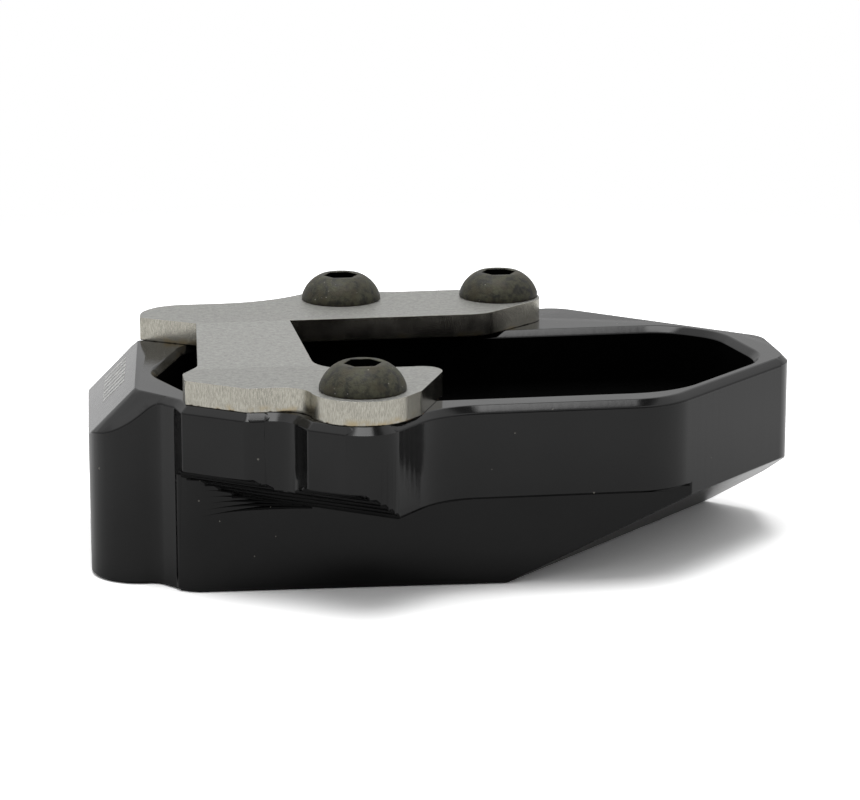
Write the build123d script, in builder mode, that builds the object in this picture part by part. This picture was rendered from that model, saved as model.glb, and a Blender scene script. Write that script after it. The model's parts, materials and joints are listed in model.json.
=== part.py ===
"""Foot enlarger for a motorbike side stand: a milled foot with a pocket, a clamp plate and three screws.

Millimetres, +Z up. The origin is on the floor, under the middle of the foot.
The front of the foot, with the single screw, faces -Y, and the nose points along +X.
"""
import os
from math import cos, radians, sin, sqrt, tan

from build123d import *

os.makedirs("parts", exist_ok=True)

# Screw axes in plan
FRONT_SCREW_X = -13.4
FRONT_SCREW_Y = -25.55
SCREW_SPAN = 51.65  # front screw axis to the left rear one, along Y
REAR_LEFT_SCREW_X = -9.2
REAR_SCREW_SPACING = 21.2
REAR_SCREW_SKEW = 1.3  # how far the right rear screw stands nearer to the front

# Foot block
LENGTH = 90.2
LEFT_REACH = 31.7  # front screw axis to the left end, along X
HEIGHT = 24.0
RIM_CHAMFER = 0.85
FOOT_CHAMFER = 0.4

# Left end: a block with a leaning wall, a round lobe at its front and a large sloped facet on top
LEFT_LEAN = 3.3
LOBE_R = 6.5
LOBE_WIDTH = 10.55
LOBE_SLANT = 3.53  # slanted wall between the lobe and the step
LOBE_SLANT_ANGLE = 53.0
LOBE_SLANT_R = 2.5
BLOCK_END = 6.8  # left rear screw axis to the rear end of the left block, along Y
REAR_LEFT_WALL = 27.3  # left rear screw axis to the wall behind the left block, along X
SHOULDER_R = 6.85
SHOULDER_GAP = 0.4  # rear shoulder behind the left rear screw
FACET = 5.95
FACET_LEAN = 5.0  # of the ridge between the facet and the rim
FACET_TURN_Y = -8.8
FACET_TURN_ANGLE = 50.0
FACET_TURN_R = 2.5
FACET_TURN_RUN = 7.0

# Front side: a step, a slanted flank with a round notch, a rounded corner and the straight front wall
STEP_DEPTH = 3.25
STEP_ANGLE = 79.0
FLANK_ANGLE = 37.0
FLANK_GAP = 7.1  # front screw axis to the flank
NOTCH_LEFT = 13.85  # front screw axis to the left lip of the notch, along X
NOTCH_RIGHT = 7.1  # front screw axis to the right lip of the notch, along X
NOTCH_WALL_ANGLE = 71.0
NOTCH_LIP_R = 1.5
NOTCH_R = 4.0
CORNER_R = 4.9
CORNER_GAP = 6.5  # front screw axis to the corner's right side
CORNER_ANGLE = 49.0
SWEEP_R = 10.75
FRONT_WALL_SETBACK = 1.25  # front wall behind the front screw axis

# Nose and rear side
FRONT_BEND_R = 10.0
NOSE_FRONT_ANGLE = 45.0
NOSE_REAR_ANGLE = 42.7
NOSE_FLAT = 12.25
NOSE_MIDDLE_Y = 2.4
NOSE_FRONT_R = 6.0
NOSE_REAR_R = 5.2
REAR_BEND_R = 6.0
REAR_WALL_GAP = 4.2  # rear wall behind the left rear screw axis
REAR_BOSS_R = 7.0
REAR_BOSS_BLEND_R = 6.0
SHOULDER_BLEND_R = 16.0

# Undercut below the rim band, with a terraced slope under the flank
BAND = 11.65
SHELF_DROP = 8.15
SHELF_SLOPE = 37.5
TERRACES = 5
TERRACE_LIP = 0.35  # upright share of a terrace's height
TERRACE_LEAN = 40.0  # of the rest of its height
UNDERCUT_STEP = 0.6  # what is left of the step below the band
UNDERCUT_SETBACK = 1.348  # foot of the step to the lower face, along Y
UNDERCUT_TURN = 3.1
UNDERCUT_R = 5.0
INCLINE_RUN = 17.3  # back from the nose's slanted front face
INCLINE_ANGLE = 32.0

# Pocket for the stand's foot
POCKET_DEPTH = 8.0
POCKET_FLOOR_R = 1.0
POCKET_FRONT_WALL = 4.75
POCKET_REAR_WALL = 14.45
POCKET_LEFT_WALL = 2.25  # facet ridge to the pocket's left tip
POCKET_LEFT_ANGLE = 70.0
POCKET_TIP_Y = -0.5
POCKET_TIP_R = 8.0
POCKET_LEFT_FRONT_R = 12.0
POCKET_LEFT_REAR_R = 6.0
POCKET_NOSE_WALL = 4.0
POCKET_DIAGONAL_WALL = 2.6
POCKET_NOSE_LEAN = 9.0
POCKET_BEND_R = 12.0
POCKET_NOSE_R = 9.0
POCKET_CORNER_R = 8.0

# Clamp plate
PLATE_THICKNESS = 3.0
PLATE_HOLE_R = 3.3
PLATE_TIP_GAP = 0.25  # facet ridge to the plate's left edge
PLATE_TIP_DEPTH = 7.6  # left rear screw axis to the tip's front corner
PLATE_TIP_R = 0.4
PLATE_SHOULDER_R = 6.0
ARM_DEPTH = 12.25  # left rear screw axis to the arm's front edge
ARM_RIGHT = 5.35  # right rear screw axis to the plate's right edge
ARM_BEND = 3.75  # right rear screw axis to the start of the slanted edge
ARM_ANGLE = 41.0
ARM_BEND_R = 5.0
ARM_NOSE_R = 4.0
ARM_END_R = 5.0
WEB_LEFT = 16.4  # front screw axis to the web's left edge
WEB_RIGHT = 4.15  # front screw axis to the web's right edge
WEB_FLARE = 2.0
WEB_LEFT_END = 15.0  # front screw axis to the end of the web's left edge, along Y
WEB_LEFT_R = 4.0
WEB_RIGHT_R = 5.0
TAB_LEFT = 20.6  # front screw axis to the tab's left edge
TAB_LEFT_DEPTH = 11.3  # front screw axis to the tab's left rear corner, along Y
TAB_LEFT_R = 2.0
TAB_DEPTH = 10.95  # front screw axis to the tab's rear edge
TAB_R = 6.35
TAB_BEND_R = 2.0  # between the tab's slanted front and its right side
TAB_RIGHT_GAP = 7.0  # front screw axis to the tab's right side
TAB_RIGHT_ANGLE = 67.0
TAB_RIGHT_R = 2.5
TAB_NOTCH_R = 3.5

# Button-head screws
SCREW_R = 3.0
SCREW_LENGTH = 10.0
SCREW_TIP_CHAMFER = 0.7
HEAD_R = 5.25
HEAD_HEIGHT = 3.3
HEAD_EDGE = 0.5
HEAD_TOP_R = 2.75
HEAD_DOME_R = 4.3
SOCKET_FLATS = 4.0
SOCKET_DEPTH = 2.1
THREAD_CLEARANCE = 0.05
HOLE_SPARE = 1.5  # drilled depth past the screw's tip

FAR = 120.0  # reach of cutting outlines past the foot
EDGE_SHARE = 0.98  # most of an edge that the rounds at its ends may take up


def heading(angle):
    """Plan unit vector at an angle from +X."""
    return Vector(cos(radians(angle)), sin(radians(angle)))


def meet(point_a, angle_a, point_b, angle_b):
    """Plan point where two lines cross, each given by a point and an angle."""
    along = heading(angle_a)
    across = heading(angle_b + 90)
    return point_a + along * ((point_b - point_a).dot(across) / along.dot(across))


def round_outline(corners):
    """Face from (point, radius) corners, in the open sketch; a round is limited by the edges beside it."""
    points = [point for point, _ in corners]
    runs = [points[i] - points[i - 1] for i in range(len(points))]
    runs.append(runs[0])
    reach = [r * tan(radians(runs[i].get_angle(runs[i + 1])) / 2) for i, (_, r) in enumerate(corners)]
    radii = []
    for i, (_, r) in enumerate(corners):
        used = [reach[i - 1] + reach[i], reach[i] + reach[(i + 1) % len(reach)]]
        room = [EDGE_SHARE * runs[i].length, EDGE_SHARE * runs[i + 1].length]
        fit = min([space / need for space, need in zip(room, used) if need > space], default=1)
        radii.append(r * fit)
    with BuildLine() as path:
        FilletPolyline(*points, radius=radii, close=True)
    make_face(path.edges())


def beside(centre, radius, y, side):
    """Plan point where a circle crosses a line of constant y, on one side of its centre."""
    return Vector(centre.X + side * sqrt(radius**2 - (y - centre.Y) ** 2), y)


# Shared reference points and lines
front_screw = Vector(FRONT_SCREW_X, FRONT_SCREW_Y)
rear_left_screw = Vector(REAR_LEFT_SCREW_X, FRONT_SCREW_Y + SCREW_SPAN)
rear_right_screw = rear_left_screw + Vector(REAR_SCREW_SPACING, -REAR_SCREW_SKEW)
screws = {
    "clamp_screw_front": front_screw,
    "clamp_screw_rear_left": rear_left_screw,
    "clamp_screw_rear_right": rear_right_screw,
}
screw_hole_r = SCREW_R + THREAD_CLEARANCE
screw_hole_depth = SCREW_LENGTH - PLATE_THICKNESS + HOLE_SPARE

left_x = FRONT_SCREW_X - LEFT_REACH
nose_x = left_x + LENGTH
front_wall_y = FRONT_SCREW_Y + FRONT_WALL_SETBACK
rear_wall_y = rear_left_screw.Y + REAR_WALL_GAP
shoulder_y = rear_left_screw.Y + SHOULDER_GAP

flank_out = heading(-FLANK_ANGLE - 90)
flank_base = front_screw + flank_out * FLANK_GAP
step_foot = meet(flank_base, -FLANK_ANGLE, Vector(left_x + LOBE_WIDTH, 0), 90)
step_head = step_foot - heading(-STEP_ANGLE) * STEP_DEPTH
lobe_bend = step_head - heading(-LOBE_SLANT_ANGLE) * LOBE_SLANT
left_angle = 90 - LEFT_LEAN
left_in = heading(left_angle - 90)
left_wall = Vector(left_x + LOBE_R, lobe_bend.Y + LOBE_R) - left_in * LOBE_R
ridge = left_wall + left_in * FACET
ridge_angle = 90 - FACET_LEAN
ridge_in = heading(ridge_angle - 90)
block_end_y = rear_left_screw.Y - BLOCK_END
rear_left_wall_x = REAR_LEFT_SCREW_X - REAR_LEFT_WALL

notch_left = meet(flank_base, -FLANK_ANGLE, front_screw - Vector(NOTCH_LEFT, 0), 90)
notch_right = meet(flank_base, -FLANK_ANGLE, front_screw - Vector(NOTCH_RIGHT, 0), 90)
notch_floor = meet(notch_right, -NOTCH_WALL_ANGLE, notch_left, 0)
corner_side = front_screw + heading(CORNER_ANGLE - 90) * CORNER_GAP
corner = meet(flank_base, -FLANK_ANGLE, corner_side, CORNER_ANGLE)
sweep = meet(corner, CORNER_ANGLE, Vector(0, front_wall_y), 0)
nose_front = Vector(nose_x, NOSE_MIDDLE_Y - NOSE_FLAT / 2)
nose_rear = Vector(nose_x, NOSE_MIDDLE_Y + NOSE_FLAT / 2)
front_bend = meet(nose_front, NOSE_FRONT_ANGLE, Vector(0, front_wall_y), 0)
rear_bend = meet(nose_rear, -NOSE_REAR_ANGLE, Vector(0, rear_wall_y), 0)

outer_corners = [
    (Vector(rear_left_wall_x, shoulder_y), SHOULDER_R),
    (Vector(rear_left_wall_x, block_end_y), 0),
    (meet(left_wall, left_angle, Vector(0, block_end_y), 0), 0),
    (meet(left_wall, left_angle, lobe_bend, 0), LOBE_R),
    (lobe_bend, LOBE_SLANT_R),
    (step_head, 0),
    (step_foot, 0),
    (notch_left, NOTCH_LIP_R),
    (notch_floor, NOTCH_R),
    (notch_right, 0),
    (corner, CORNER_R),
    (sweep, SWEEP_R),
    (front_bend, FRONT_BEND_R),
    (nose_front, NOSE_FRONT_R),
    (nose_rear, NOSE_REAR_R),
    (rear_bend, REAR_BEND_R),
    (Vector(REAR_LEFT_SCREW_X, rear_wall_y), 0),
    (Vector(REAR_LEFT_SCREW_X, shoulder_y), 0),
]

# Pocket outline: pointed at the left, and even with the slanted faces round the nose
pocket_front_y = front_wall_y + POCKET_FRONT_WALL
pocket_rear_y = rear_wall_y - POCKET_REAR_WALL
pocket_tip = meet(ridge + ridge_in * POCKET_LEFT_WALL, ridge_angle, Vector(0, POCKET_TIP_Y), 0)
pocket_diagonal = nose_front + heading(NOSE_FRONT_ANGLE + 90) * POCKET_DIAGONAL_WALL
pocket_nose = Vector(nose_x - POCKET_NOSE_WALL, nose_front.Y)
pocket_nose_angle = 90 + POCKET_NOSE_LEAN
pocket_rear_slant = nose_rear - heading(90 - NOSE_REAR_ANGLE) * POCKET_DIAGONAL_WALL
pocket_corners = [
    (pocket_tip, POCKET_TIP_R),
    (meet(pocket_tip, -POCKET_LEFT_ANGLE, Vector(0, pocket_front_y), 0), POCKET_LEFT_FRONT_R),
    (meet(pocket_diagonal, NOSE_FRONT_ANGLE, Vector(0, pocket_front_y), 0), POCKET_BEND_R),
    (meet(pocket_diagonal, NOSE_FRONT_ANGLE, pocket_nose, pocket_nose_angle), POCKET_NOSE_R),
    (meet(pocket_nose, pocket_nose_angle, pocket_rear_slant, -NOSE_REAR_ANGLE), POCKET_CORNER_R),
    (meet(pocket_rear_slant, -NOSE_REAR_ANGLE, Vector(0, pocket_rear_y), 0), POCKET_CORNER_R),
    (meet(pocket_tip, POCKET_LEFT_ANGLE, Vector(0, pocket_rear_y), 0), POCKET_LEFT_REAR_R),
]

# Undercut outline: everything in front of the lower face
undercut_lead = step_head + (heading(-STEP_ANGLE) - heading(-FLANK_ANGLE)) * UNDERCUT_STEP
lower_face = step_foot + Vector(0, UNDERCUT_SETBACK)
undercut_end = lower_face + heading(-UNDERCUT_TURN) * FAR
undercut_corners = [
    (undercut_lead, 0),
    (meet(undercut_lead, -FLANK_ANGLE, lower_face, -UNDERCUT_TURN), UNDERCUT_R),
    (undercut_end, 0),
    (Vector(undercut_end.X, -FAR), 0),
    (Vector(undercut_lead.X, -FAR), 0),
]

# Profile under the flank, as (distance out from the flank, height): terraces with upright lips
terrace_height = (BAND - SHELF_DROP) / TERRACES
terrace_run = terrace_height / tan(radians(SHELF_SLOPE))
lip_height = TERRACE_LIP * terrace_height
lean_run = (terrace_height - lip_height) * tan(radians(TERRACE_LEAN))
shelf_points = [(FAR, HEIGHT - BAND)]
for step in range(TERRACES):
    inner = (step - TERRACES) * terrace_run
    foot = HEIGHT - BAND + step * terrace_height
    shelf_points += [(inner, foot), (inner, foot + lip_height), (inner + lean_run, foot + terrace_height)]
shelf_points.append((FAR, HEIGHT - SHELF_DROP))
incline_start = nose_front + heading(NOSE_FRONT_ANGLE + 90) * INCLINE_RUN

# Keep-outline of the left facet at the rim: it widens downwards at 45 degrees
facet_turn = meet(ridge, ridge_angle, Vector(0, FACET_TURN_Y), 0)
facet_return = facet_turn + heading(-FACET_TURN_ANGLE) * FACET_TURN_RUN
facet_end = facet_return - heading(ridge_angle) * FAR
facet_corners = [
    (meet(ridge, ridge_angle, Vector(0, FAR), 0), 0),
    (facet_turn, FACET_TURN_R),
    (facet_return, 0),
    (facet_end, 0),
    (Vector(FAR, facet_end.Y), 0),
    (Vector(FAR, FAR), 0),
]

with BuildPart() as facet_envelope:
    with BuildSketch(Plane.XY.offset(HEIGHT)):
        round_outline(facet_corners)
    extrude(amount=-HEIGHT, taper=-45)

with BuildPart() as shelf_cut:
    with BuildSketch(Plane(flank_base, x_dir=flank_out, z_dir=heading(180 - FLANK_ANGLE))):
        Polygon(*shelf_points, align=None)
    extrude(amount=FAR, both=True)
    with BuildSketch():
        round_outline(undercut_corners)
    extrude(amount=HEIGHT, mode=Mode.INTERSECT)

with BuildPart() as foot_body:
    with BuildSketch() as outline:
        round_outline(outer_corners)
        with Locations(rear_left_screw):
            Circle(REAR_BOSS_R)
        boss_left = beside(rear_left_screw, REAR_BOSS_R, shoulder_y, -1)
        fillet(outline.vertices().sort_by_distance(boss_left)[0], SHOULDER_BLEND_R)
        boss_right = beside(rear_left_screw, REAR_BOSS_R, rear_wall_y, 1)
        fillet(outline.vertices().sort_by_distance(boss_right)[0], REAR_BOSS_BLEND_R)
    extrude(amount=HEIGHT)

    # Pocket with a rounded floor
    with BuildSketch(Plane.XY.offset(HEIGHT)):
        round_outline(pocket_corners)
    extrude(amount=-POCKET_DEPTH, mode=Mode.SUBTRACT)
    pocket_floor = foot_body.faces().filter_by(Axis.Z).group_by(Axis.Z)[1]
    fillet(pocket_floor.edges(), POCKET_FLOOR_R)
    chamfer(foot_body.faces().sort_by(Axis.Z)[-1].edges(), RIM_CHAMFER)

    # Undercut below the band, with the terraces that climb towards the flank
    with BuildSketch():
        round_outline(undercut_corners)
    extrude(amount=HEIGHT - BAND, mode=Mode.SUBTRACT)
    add(shelf_cut.part, mode=Mode.SUBTRACT)

    # Chamfer round the sole, then the incline under the nose, which rises towards its slanted front face
    chamfer(foot_body.faces().sort_by(Axis.Z)[0].edges(), FOOT_CHAMFER)
    climb = heading(NOSE_FRONT_ANGLE - 90)
    with BuildSketch(Plane(incline_start, x_dir=climb, z_dir=heading(NOSE_FRONT_ANGLE + 180))):
        Polygon((0, 0), (FAR, 0), (FAR, FAR * tan(radians(INCLINE_ANGLE))), align=None)
    extrude(amount=FAR, both=True, mode=Mode.SUBTRACT)

    # Left facet and the tapped holes
    add(facet_envelope.part, mode=Mode.INTERSECT)
    with Locations(*[Vector(place.X, place.Y, HEIGHT) for place in screws.values()]):
        Hole(screw_hole_r, depth=screw_hole_depth)
foot_body.part.label = "foot_body"
export_step(foot_body.part, "parts/foot_body.step")

# Clamp plate outline, set in from the block's edges by the rim chamfer
plate_left = ridge + ridge_in * PLATE_TIP_GAP
plate_flank = flank_base - flank_out * RIM_CHAMFER
plate_notch_y = notch_left.Y + RIM_CHAMFER
plate_rear_y = rear_wall_y - RIM_CHAMFER
plate_shoulder_y = shoulder_y - RIM_CHAMFER
plate_right_x = rear_right_screw.X + ARM_RIGHT
plate_boss_r = REAR_BOSS_R - RIM_CHAMFER
arm_front_y = rear_left_screw.Y - ARM_DEPTH
arm_bend = Vector(rear_right_screw.X - ARM_BEND, arm_front_y)
web_left_x = FRONT_SCREW_X - WEB_LEFT
web_right_x = FRONT_SCREW_X - WEB_RIGHT
tab_left_x = FRONT_SCREW_X - TAB_LEFT
tab_rear_y = FRONT_SCREW_Y + TAB_DEPTH
tip_y = rear_left_screw.Y - PLATE_TIP_DEPTH
tab_slant = front_screw + heading(CORNER_ANGLE - 90) * TAB_R
tab_side = front_screw + heading(TAB_RIGHT_ANGLE - 90) * TAB_RIGHT_GAP
plate_corners = [
    (meet(plate_left, ridge_angle, Vector(0, plate_shoulder_y), 0), PLATE_SHOULDER_R),
    (meet(plate_left, ridge_angle, Vector(0, tip_y), 0), PLATE_TIP_R),
    (Vector(web_left_x, arm_front_y), 0),
    (Vector(web_left_x - WEB_FLARE, FRONT_SCREW_Y + WEB_LEFT_END), WEB_LEFT_R),
    (Vector(tab_left_x, FRONT_SCREW_Y + TAB_LEFT_DEPTH), TAB_LEFT_R),
    (meet(plate_flank, -FLANK_ANGLE, Vector(tab_left_x, 0), 90), PLATE_TIP_R),
    (meet(plate_flank, -FLANK_ANGLE, Vector(0, plate_notch_y), 0), NOTCH_LIP_R),
    (Vector(FRONT_SCREW_X, plate_notch_y), 0),
    (tab_slant, 0),
    (meet(tab_slant, CORNER_ANGLE, tab_side, TAB_RIGHT_ANGLE), TAB_BEND_R),
    (meet(tab_side, TAB_RIGHT_ANGLE, Vector(0, tab_rear_y), 0), TAB_RIGHT_R),
    (Vector(web_right_x, tab_rear_y), WEB_RIGHT_R),
    (Vector(web_right_x, arm_front_y), 0),
    (arm_bend, ARM_BEND_R),
    (meet(arm_bend, ARM_ANGLE, Vector(plate_right_x, 0), 90), ARM_NOSE_R),
    (Vector(plate_right_x, plate_rear_y), ARM_END_R),
    (Vector(REAR_LEFT_SCREW_X, plate_rear_y), 0),
    (Vector(REAR_LEFT_SCREW_X, plate_shoulder_y), 0),
]

with BuildPart() as clamp_plate:
    with BuildSketch(Plane.XY.offset(HEIGHT)) as plate_outline:
        round_outline(plate_corners)
        with Locations(front_screw):
            Circle(TAB_R)
        with Locations(rear_left_screw):
            Circle(plate_boss_r)
        tab_left = beside(front_screw, TAB_R, plate_notch_y, -1)
        fillet(plate_outline.vertices().sort_by_distance(tab_left)[0], TAB_NOTCH_R)
        boss_left = beside(rear_left_screw, plate_boss_r, plate_shoulder_y, -1)
        fillet(plate_outline.vertices().sort_by_distance(boss_left)[0], SHOULDER_BLEND_R + RIM_CHAMFER)
        boss_right = beside(rear_left_screw, plate_boss_r, plate_rear_y, 1)
        fillet(plate_outline.vertices().sort_by_distance(boss_right)[0], REAR_BOSS_BLEND_R + RIM_CHAMFER)
        with Locations(*screws.values()):
            Circle(PLATE_HOLE_R, mode=Mode.SUBTRACT)
    extrude(amount=PLATE_THICKNESS)
clamp_plate.part.label = "clamp_plate"
export_step(clamp_plate.part, "parts/clamp_plate.step")

# Screws: domed head with a hexagon socket, seated on the plate
for name, place in screws.items():
    seat = Vector(place.X, place.Y, HEIGHT + PLATE_THICKNESS)
    with BuildPart() as screw:
        with BuildSketch(Plane(seat, x_dir=(1, 0, 0), z_dir=(0, -1, 0))):
            with BuildLine():
                Polyline(
                    (HEAD_TOP_R, HEAD_HEIGHT),
                    (0, HEAD_HEIGHT),
                    (0, -SCREW_LENGTH),
                    (SCREW_R - SCREW_TIP_CHAMFER, -SCREW_LENGTH),
                    (SCREW_R, SCREW_TIP_CHAMFER - SCREW_LENGTH),
                    (SCREW_R, 0),
                    (HEAD_R, 0),
                    (HEAD_R, HEAD_EDGE),
                )
                RadiusArc((HEAD_R, HEAD_EDGE), (HEAD_TOP_R, HEAD_HEIGHT), -HEAD_DOME_R)
            make_face()
        revolve(axis=Axis(seat, (0, 0, 1)))
        with BuildSketch(Plane(seat).offset(HEAD_HEIGHT)):
            RegularPolygon(SOCKET_FLATS / 2, 6, major_radius=False)
        extrude(amount=-SOCKET_DEPTH, mode=Mode.SUBTRACT)
    screw.part.label = name
    export_step(screw.part, f"parts/{name}.step")
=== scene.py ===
"""Looks of a side stand foot enlarger: a milled black foot, a laser-cut clamp plate and button-head screws.

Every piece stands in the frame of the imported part, in metres, with the foot's sole on the floor at z = 0.
Lengths and angles are in millimetres and degrees where no name or comment says otherwise.
"""

from __future__ import annotations

import json
import logging
import math
from collections.abc import Callable
from dataclasses import dataclass
from enum import Enum, IntEnum
from functools import partial

import bmesh
import bpy
from mathutils import Matrix, Vector

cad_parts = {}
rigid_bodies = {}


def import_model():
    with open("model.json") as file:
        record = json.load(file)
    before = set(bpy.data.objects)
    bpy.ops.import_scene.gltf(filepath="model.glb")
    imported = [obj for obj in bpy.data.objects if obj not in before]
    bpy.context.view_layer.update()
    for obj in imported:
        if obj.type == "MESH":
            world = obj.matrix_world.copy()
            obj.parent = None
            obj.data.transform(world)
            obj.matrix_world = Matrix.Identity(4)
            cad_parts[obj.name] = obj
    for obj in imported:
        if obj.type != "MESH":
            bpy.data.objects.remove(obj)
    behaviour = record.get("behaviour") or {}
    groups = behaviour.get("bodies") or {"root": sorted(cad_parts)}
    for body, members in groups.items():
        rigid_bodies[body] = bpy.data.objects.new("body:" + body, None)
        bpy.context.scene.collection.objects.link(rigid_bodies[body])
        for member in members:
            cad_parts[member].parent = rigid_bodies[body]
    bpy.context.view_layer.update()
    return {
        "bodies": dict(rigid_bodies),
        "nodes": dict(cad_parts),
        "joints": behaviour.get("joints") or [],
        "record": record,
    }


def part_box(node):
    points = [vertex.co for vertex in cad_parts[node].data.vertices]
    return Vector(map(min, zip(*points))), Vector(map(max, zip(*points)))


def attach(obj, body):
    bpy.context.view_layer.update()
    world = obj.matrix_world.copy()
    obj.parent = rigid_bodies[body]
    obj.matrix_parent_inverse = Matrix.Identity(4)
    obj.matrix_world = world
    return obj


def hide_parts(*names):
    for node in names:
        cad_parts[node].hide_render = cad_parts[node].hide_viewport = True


MM = 0.001
BODY = "root"
LOG = logging.getLogger("foot_enlarger")

JOIN_MM = 0.002  # corners nearer than this are one corner
WIRE_MM = 0.01  # the same for corners of a wire
FLAT_DEG = 0.4  # faces that meet at less than this are one face
BREAK_SEGMENTS = 2  # faces across a broken edge
MOST_NOISE = (0.3, 0.7)  # limits that hold most values of a noise

# Places of sockets whose names occur more than once on their node.
MIX_SHARE, MIX_FIRST, MIX_SECOND = 0, 6, 7
MIX_RESULT = 2
RANDOM_LOW, RANDOM_HIGH = 2, 3
RANDOM_NUMBER, RANDOM_CHANCE = 1, 3

KNOB_KINDS = {"int": "NodeSocketInt", "float": "NodeSocketFloat", "Material": "NodeSocketMaterial"}

Face = bpy.types.MeshPolygon
Material = bpy.types.Material
Object = bpy.types.Object
Socket = bpy.types.NodeSocket
Feed = Socket | float | tuple[float, ...]
Colour = tuple[float, float, float, float]
Pair = tuple[float, float]
Triple = tuple[float, float, float]
Span = tuple[Pair, Pair]


class Slot(Enum):
    """Material slots of the record."""

    FOOT = "anodised_black"
    PLATE = "stainless_sheet"
    SCREW = "screw_black"


class FootCoat(IntEnum):
    """Finishes of the foot block's faces, in the order of its materials."""

    OUTSIDE = 0
    # painted shade inside the pocket
    SHADED_LINING = 1
    # painted shade on the lower face
    LOWER = 2
    # darker painted shade on the steps
    STEPS = 3


class PlateCoat(IntEnum):
    """Finishes of the clamp plate's faces, in the order of its materials."""

    SHEET = 0
    CUT = 1


class ScrewCoat(IntEnum):
    """Finishes of a screw's faces, in the order of its materials."""

    STEEL = 0
    # painted shade inside the socket
    SOCKET = 1


@dataclass(frozen=True)
class Grain:
    """Noise on a surface: features per millimetre, octaves of detail and how strong these are."""

    scale: float
    detail: float = 2.0
    rough: float = 0.5
    stretch: Triple | None = None  # times more features along each axis


@dataclass(frozen=True)
class Specks:
    """Scattered dots: cells per millimetre, largest dot in a cell and share of the cells with a dot."""

    scale: float
    radius: float
    share: float


class Graph:
    """Node tree with a short call for adding nodes."""

    def __init__(self, tree: bpy.types.NodeTree) -> None:
        """Start from an empty tree.

        Args:
            tree: The tree to fill; its nodes are cleared.
        """
        self.tree = tree
        self.tree.nodes.clear()

    def add(
        self, kind: str, feeds: dict[str | int, Feed] | None = None, **settings: object
    ) -> bpy.types.Node:
        """Add a node, set its properties and feed its inputs.

        Args:
            kind: Blender's identifier of the node type.
            feeds: Input name or index to a constant or to the socket that drives it.
            **settings: Properties of the node.

        Returns:
            The new node.
        """
        node = self.tree.nodes.new(kind)
        for key, value in settings.items():
            setattr(node, key, value)
        for key, value in (feeds or {}).items():
            if isinstance(value, Socket):
                self.tree.links.new(value, node.inputs[key])
            else:
                node.inputs[key].default_value = value
        return node

    def math(self, operation: str, first: Feed, second: Feed = 0.0) -> Socket:
        """Result of a sum on two values."""
        return self.add("ShaderNodeMath", {0: first, 1: second}, operation=operation).outputs[0]

    def times(self, first: Feed, second: Feed) -> Socket:
        """Product of two values."""
        return self.math("MULTIPLY", first, second)

    def axis(self, vector: Socket, letter: str) -> Socket:
        """One coordinate of a vector."""
        return self.add("ShaderNodeSeparateXYZ", {"Vector": vector}).outputs[letter]

    def ramp(self, value: Socket, low: Feed, high: Feed, start: Feed = 0.0, end: Feed = 1.0) -> Socket:
        """Smooth step of a value between two limits.

        Args:
            value: Value to map.
            low: Value at which the step begins.
            high: Value at which the step ends.
            start: Result at and below low.
            end: Result at and above high.

        Returns:
            The mapped value.
        """
        feeds = {"Value": value, "From Min": low, "From Max": high, "To Min": start, "To Max": end}
        node = self.add("ShaderNodeMapRange", feeds, interpolation_type="SMOOTHSTEP")
        return node.outputs["Result"]

    def seen_share(self) -> Socket:
        """Share of rays that show a surface.

        Returns:
            1 for camera, glossy and transmission rays and 0 for others.
        """
        path = self.add("ShaderNodeLightPath")
        share = self.math("MAXIMUM", path.outputs["Is Camera Ray"], path.outputs["Is Glossy Ray"])
        return self.math("MAXIMUM", share, path.outputs["Is Transmission Ray"])


class Growth(Graph):
    """Geometry node group with named inputs, grown into a plain mesh."""

    def __init__(self, name: str, knobs: dict[str, int | float | Material]) -> None:
        """Start a group.

        Args:
            name: Name of the group.
            knobs: Input name to its value.
        """
        super().__init__(bpy.data.node_groups.new(name, "GeometryNodeTree"))
        face = self.tree.interface
        face.new_socket("Geometry", in_out="INPUT", socket_type="NodeSocketGeometry")
        face.new_socket("Geometry", in_out="OUTPUT", socket_type="NodeSocketGeometry")
        self.values = {}
        for knob, value in knobs.items():
            kind = KNOB_KINDS[type(value).__name__]
            self.values[face.new_socket(knob, in_out="INPUT", socket_type=kind).identifier] = value
        self.inputs = self.add("NodeGroupInput").outputs

    def vector(self, x: Feed = 0.0, y: Feed = 0.0, z: Feed = 0.0) -> Socket:
        """Vector from three values."""
        return self.add("ShaderNodeCombineXYZ", {"X": x, "Y": y, "Z": z}).outputs["Vector"]

    def grow(self, grown: Socket, obj: Object) -> Object:
        """Realise what has grown on an object and leave it as a plain mesh.

        Args:
            grown: The grown instances or mesh.
            obj: Object whose mesh feeds the group; it gets the result.

        Returns:
            The same object.
        """
        real = self.add("GeometryNodeRealizeInstances", {"Geometry": grown}).outputs["Geometry"]
        feeds = {"Geometry": real, "Material": self.inputs["Material"]}
        dressed = self.add("GeometryNodeSetMaterial", feeds).outputs["Geometry"]
        self.add("NodeGroupOutput", {"Geometry": dressed})
        modifier = obj.modifiers.new(self.tree.name, "NODES")
        modifier.node_group = self.tree
        for identifier, value in self.values.items():
            modifier[identifier] = value
        return plain(obj)


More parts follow.
